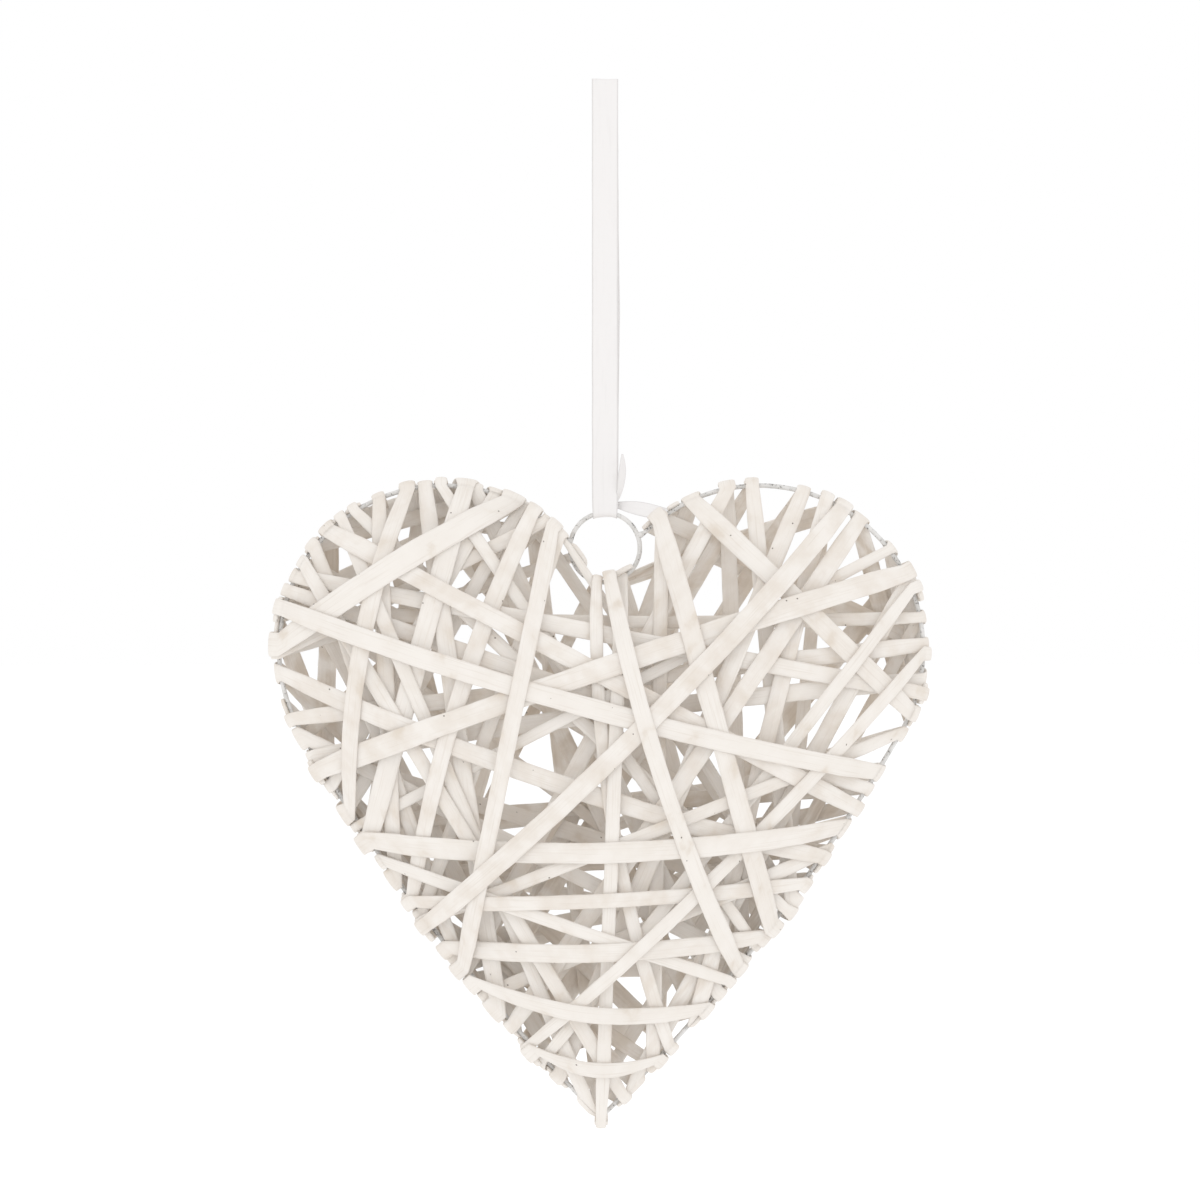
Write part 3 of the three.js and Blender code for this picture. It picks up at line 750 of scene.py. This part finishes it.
def soften(values, width):
    """A moving average along the first axis, shorter near the ends, which stay in place."""
    count = len(values)
    total = np.concatenate([np.zeros((1,) + values.shape[1:]), np.cumsum(values, axis=0)])
    index = np.arange(count)
    reach = np.minimum(width, np.minimum(index, count - 1 - index))
    return (total[index + reach + 1] - total[index - reach]) / (2 * reach + 1)[:, None]


def ribbon():
    """A band of satin: at each place of the softened line a thin closed section lies along the
    way across, hangs over the ring's wire as that curves, and ripples a little."""
    rows = ribbon_rows()
    places = np.array([row[:4] + tuple(row[4]) for row in rows], dtype=float)
    lengths = np.r_[0, np.cumsum(np.linalg.norm(np.diff(places[:, :3], axis=0), axis=1))]
    count = round(lengths[-1] / RIBBON_STEP)
    where = np.linspace(0, lengths[-1], count + 1)
    path = np.stack([np.interp(where, lengths, column) for column in places.T], axis=1)
    window = round(SOFT_FOLD / RIBBON_STEP)
    path = soften(soften(path, window), window // 2)
    centre, half, side = path[:, :3], path[:, 3], path[:, 4:]
    run = np.gradient(centre, axis=0)
    run /= np.linalg.norm(run, axis=1)[:, None]
    side = side - np.sum(side * run, axis=1)[:, None] * run
    side /= np.linalg.norm(side, axis=1)[:, None]
    out = np.cross(run, side)
    generator = np.random.default_rng(7)
    share = np.linspace(-1, 1, RIBBON_COLUMNS)
    slow = RIPPLE * wobble(generator, len(centre), 19, RIBBON_STEP)[:, None]
    quick = FINE_RIPPLE * wobble(generator, len(centre), 9, RIBBON_STEP)[:, None]
    ripple = slow * np.sin(2.4 * share) + quick * np.cos(4 * share)
    edge = 1 + SELVEDGE_WANDER * wobble(generator, len(centre), 12, RIBBON_STEP)
    spread = side[:, None] * ((half * edge)[:, None] * share)[..., None]
    near_ring = np.clip(1 - (centre[:, 2] + RIBBON_DROP) / RING_FIT, 0, 1) * (half > 3)
    sag = RING_RADIUS - np.sqrt(RING_RADIUS ** 2 - spread[..., 0] ** 2)
    body = centre[:, None] + spread
    body[..., 2] -= near_ring[:, None] * sag
    skin = RIBBON_SHEET / 2
    upper = body + out[:, None] * (ripple + skin)[..., None]
    lower = body + out[:, None] * (ripple - skin)[..., None]
    points = np.concatenate([upper, lower[:, ::-1]], axis=1) * MM
    across = np.broadcast_to(np.r_[share, share[::-1]] * RIBBON_WIDTH / 2, points.shape[:2])
    along = np.broadcast_to(where[:, None], points.shape[:2])
    piece = make_mesh("satin_ribbon_looped", points, False, (("across", across), ("along", along)))
    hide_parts("ribbon")
    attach(piece, "root")
    return piece


# Finishes

class Socket:
    """An output in a finish's node tree, so a pattern reads as plain arithmetic."""

    def __init__(self, tree, output):
        self.tree = tree
        self.output = output

    def node(self, kind, settings=None, inputs=None, output=0):
        """Any other node, by its type, its settings and what goes into its inputs."""
        made = self.tree.nodes.new(kind)
        for key, value in (settings or {}).items():
            setattr(made, key, value)
        for key, value in (inputs or {}).items():
            if isinstance(value, Socket):
                self.tree.links.new(value.output, made.inputs[key])
            else:
                made.inputs[key].default_value = value
        return Socket(self.tree, made.outputs[output])

    def math(self, operation, *values):
        inputs = dict(enumerate((self,) + values))
        return self.node("ShaderNodeMath", {"operation": operation}, inputs)

    def __add__(self, other):
        return self.math("ADD", other)

    def __sub__(self, other):
        return self.math("SUBTRACT", other)

    def __mul__(self, other):
        return self.math("MULTIPLY", other)

    def __gt__(self, other):
        return self.math("GREATER_THAN", other)

    def clamped(self, low, high):
        """The share of the way from low to high, smoothly, as a number from 0 to 1."""
        settings = {"interpolation_type": "SMOOTHSTEP"}
        return self.node("ShaderNodeMapRange", settings, {0: self, 1: low, 2: high, 3: 0.0, 4: 1.0})

    def tint(self, first, second):
        """The mix of two colours, or colour sockets, by this share."""
        settings = {"data_type": "RGBA", "clamp_factor": True}
        colours = [c if isinstance(c, Socket) else (*c, 1.0) for c in (first, second)]
        return self.node("ShaderNodeMix", settings, {0: self, 6: colours[0], 7: colours[1]}, 2)


def finish_tree(name):
    """A new material with its shader, and a starting point for sockets."""
    material = bpy.data.materials.new(name)
    material.use_nodes = True
    shader = material.node_tree.nodes["Principled BSDF"]
    return material, shader, Socket(material.node_tree, None)


def attribute(start, name):
    settings = {"attribute_type": "GEOMETRY", "attribute_name": name}
    return start.node("ShaderNodeAttribute", settings, output=2)


def vector(start, x, y, z):
    return start.node("ShaderNodeCombineXYZ", None, {0: x, 1: y, 2: z})


def noise(start, place, scale, detail):
    return start.node("ShaderNodeTexNoise", None, {"Vector": place, "Scale": scale, "Detail": detail})


def wire_to(shader, name, socket):
    socket.tree.links.new(socket.output, shader.inputs[name])


def raise_bump(start, height, strength, distance):
    inputs = {"Height": height, "Strength": strength, "Distance": distance}
    return start.node("ShaderNodeBump", None, inputs)


def painted_willow():
    """Thin matt white over split willow: long fibres under the paint, brush marks, a tint of
    its own for each strip, tan on the faces towards the heart's hollow, partly bare willow that
    the spray hardly reached and partly painted shade of the hollow, and a few tiny dark pinholes."""
    material, shader, start = finish_tree("painted_willow")
    along, across = attribute(start, "along"), attribute(start, "across")
    own = attribute(start, "strip")
    place = vector(start, along, across, own * 90.0)
    fibre = noise(start, vector(start, along * 0.045, across * 1.5, own * 40.0), 1.0, 5.0)
    coarse = noise(start, vector(start, along * 0.02, across * 0.5, own * 70.0), 1.0, 2.0)
    brush = noise(start, place, 0.085, 4.0)
    fine = noise(start, place, 1.3, 3.0)
    pits = start.node("ShaderNodeTexVoronoi", None, {"Vector": place, "Scale": 0.13}, 0)
    pit = (pits * -1.0 + 0.06).clamped(0.0, 0.025)
    pit = pit * (brush > 0.5)
    paint = own.tint((0.80, 0.746, 0.684), (0.73, 0.658, 0.582))
    paint = brush.clamped(0.35, 0.62).tint((0.82, 0.769, 0.711), paint)
    paint = (fibre.clamped(0.5, 0.8) * 0.55).tint(paint, (0.64, 0.559, 0.475))
    paint = (brush.clamped(0.58, 0.78) * 0.85).tint(paint, (0.64, 0.549, 0.451))
    # The tan of bare willow, which on the faces towards the hollow also serves as painted shade.
    bare_wood_and_shade = coarse.clamped(0.3, 0.7).tint((0.66, 0.565, 0.465), (0.50, 0.40, 0.30))
    # The mask of the faces towards the hollow, where the tan is bare willow and painted shade
    # together, stronger on some strips than others and broken up by the brush noise.
    unsprayed_and_shaded_share = own.clamped(0.4, 0.85) * 0.5 + 0.12
    bare = attribute(start, "inward") * unsprayed_and_shaded_share * brush.clamped(0.36, 0.60)
    surface = bare.tint(paint, bare_wood_and_shade)
    colour = pit.tint(surface, (0.10, 0.075, 0.055))
    wire_to(shader, "Base Color", colour)
    wire_to(shader, "Roughness", fibre * 0.2 + 0.55)
    relief = fibre * 0.45 + coarse * 0.5 + fine * 0.14 - pit * 0.5
    wire_to(shader, "Normal", raise_bump(start, relief, 0.5, 0.0005))
    shader.inputs["Specular IOR Level"].default_value = 0.35
    return material


def painted_wire():
    """Greyish white paint on iron wire, rubbed through in small dark specks."""
    material, shader, start = finish_tree("painted_wire")
    place = start.node("ShaderNodeTexCoord", output=3)
    cloud = noise(start, place, 260.0, 3.0)
    speck = noise(start, place, 900.0, 2.0)
    rubbed = (speck * 0.7 + cloud * 0.3).clamped(0.56, 0.64)
    paint = cloud.clamped(0.35, 0.65).tint((0.70, 0.685, 0.665), (0.56, 0.545, 0.52))
    wire_to(shader, "Base Color", rubbed.tint(paint, (0.13, 0.12, 0.11)))
    wire_to(shader, "Roughness", rubbed * 0.15 + 0.42)
    wire_to(shader, "Normal", raise_bump(start, cloud - rubbed * 0.6, 0.5, 0.0004))
    shader.inputs["Specular IOR Level"].default_value = 0.5
    return material


def satin_ribbon():
    """Pale satin: fine threads along and across, and a firmer selvedge at both edges."""
    material, shader, start = finish_tree("satin_ribbon")
    along, across = attribute(start, "along"), attribute(start, "across")
    warp = (across * 16.0).math("SINE")
    weft = (along * 11.0).math("SINE")
    edge = across.math("ABSOLUTE").clamped(5.2, 5.5)
    cloth = noise(start, vector(start, along * 0.05, across * 0.6, 0.0), 1.0, 3.0)
    colour = edge.tint((0.80, 0.775, 0.765), (0.71, 0.685, 0.675))
    colour = cloth.clamped(0.5, 0.8).tint(colour, (0.765, 0.74, 0.73))
    wire_to(shader, "Base Color", colour)
    wire_to(shader, "Roughness", cloth * 0.2 + 0.36)
    relief = warp * 0.3 + weft * 0.2 + edge * 1.6 + cloth * 0.5
    wire_to(shader, "Normal", raise_bump(start, relief, 0.35, 0.0001))
    shader.inputs["Sheen Weight"].default_value = 0.35
    shader.inputs["Sheen Roughness"].default_value = 0.4
    return material


# The weld beads that join the wire's two ends to the ring

BEAD_RADIUS = 1.5
BEAD_STRETCH = 1.35
BEAD_WANDER = 0.04
BEAD_GRID = (12, 16)


def weld_bead(side, end):
    """A sphere drawn out towards the ring, as rows of circles, whose radius wanders."""
    generator = np.random.default_rng(30 + side)
    towards = unit(RING_CENTRE - end)
    centre = end + towards * (WIRE_DIAMETER + GAP) / 2
    rings, sides = BEAD_GRID
    polar = np.linspace(0.08, math.pi - 0.08, rings)[:, None]
    turn = (2 * math.pi * np.arange(sides) / sides)[None]
    radius = BEAD_RADIUS * (1 + BEAD_WANDER * generator.normal(size=BEAD_GRID))
    ahead = BEAD_STRETCH * radius * np.cos(polar)
    aside = radius * np.sin(polar) * np.cos(turn)
    depth = radius * np.sin(polar) * np.sin(turn)
    plan = centre + ahead[..., None] * towards + aside[..., None] * right_of(towards)
    name = "weld_bead_left" if side < 0 else "weld_bead_right"
    piece = make_mesh(name, to_world(plan, depth), False)
    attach(piece, "root")
    return piece


# The camera, the floor and the light

FLOOR_HEIGHT = -0.62
FLOOR_HALF = 30
LIGHTS = (
    ("front_left", (-1.0, -2.5, 0.1), 1.0, 2.5),
    ("front_right", (0.9, -2.6, -0.1), 1.0, 1.2),
    ("front_top", (-0.1, -2.2, 1.2), 0.9, 2.2),
    ("back_left", (0.9, 2.6, 0.3), 1.0, 4.5),
    ("back_right", (-0.9, 2.6, 0.3), 1.0, 4.5),
)


def look_from_the_front():
    """The photograph's camera: level, square to the heart, a good arm's length away."""
    lens = bpy.data.cameras.new("camera")
    lens.sensor_width = 36
    lens.lens = 169.6
    lens.clip_end = 60
    camera = bpy.data.objects.new("camera", lens)
    camera.location = (-0.0023, -2.6, -0.2401)
    camera.rotation_euler = (math.pi / 2, 0, 0)
    scene.collection.objects.link(camera)
    scene.camera = camera


def pale_floor():
    corners = [(x * FLOOR_HALF, y * FLOOR_HALF, FLOOR_HEIGHT)
               for x, y in ((-1, -1), (1, -1), (1, 1), (-1, 1))]
    mesh = bpy.data.meshes.new("floor")
    mesh.from_pydata(corners, [], [(0, 1, 2, 3)])
    floor = bpy.data.objects.new("floor", mesh)
    scene.collection.objects.link(floor)
    material, shader, _ = finish_tree("pale_floor")
    shader.inputs["Base Color"].default_value = (0.93, 0.93, 0.93, 1)
    shader.inputs["Roughness"].default_value = 0.9
    shader.inputs["Emission Color"].default_value = (1, 1, 1, 1)
    shader.inputs["Emission Strength"].default_value = 0.12
    mesh.materials.append(material)


def soft_light(name, place, size, power):
    data = bpy.data.lights.new(name, "AREA")
    data.shape = "DISK"
    data.size = size
    data.energy = power
    light = bpy.data.objects.new(name, data)
    light.location = place
    towards = Vector((0, 0, -0.33)) - Vector(place)
    light.rotation_euler = towards.to_track_quat("-Z", "Y").to_euler()
    scene.collection.objects.link(light)


def light_the_studio():
    world = bpy.data.worlds.new("studio")
    world.use_nodes = True
    world.node_tree.nodes["Background"].inputs[0].default_value = (1, 1, 1, 1)
    world.node_tree.nodes["Background"].inputs[1].default_value = 1.0
    scene.world = world
    for name, place, size, power in LIGHTS:
        soft_light(name, place, size, power)
    scene.view_settings.view_transform = "Standard"
    scene.view_settings.gamma = 1.3


look_from_the_front()
ribbon_piece = ribbon()
wire_piece = heart_wire()
ring_piece = hanging_ring()
left_bead = weld_bead(-1, half_heart(-1)[0])
right_bead = weld_bead(1, half_heart(1)[0])
strips = [willow_strip(strip, number) for number, strip in enumerate(wind(), 1)]

willow_finish = painted_willow()
wire_finish = painted_wire()
for piece in strips:
    piece.data.materials.append(willow_finish)
for piece in (wire_piece, ring_piece, left_bead, right_bead):
    piece.data.materials.append(wire_finish)
ribbon_piece.data.materials.append(satin_ribbon())

pale_floor()
light_the_studio()
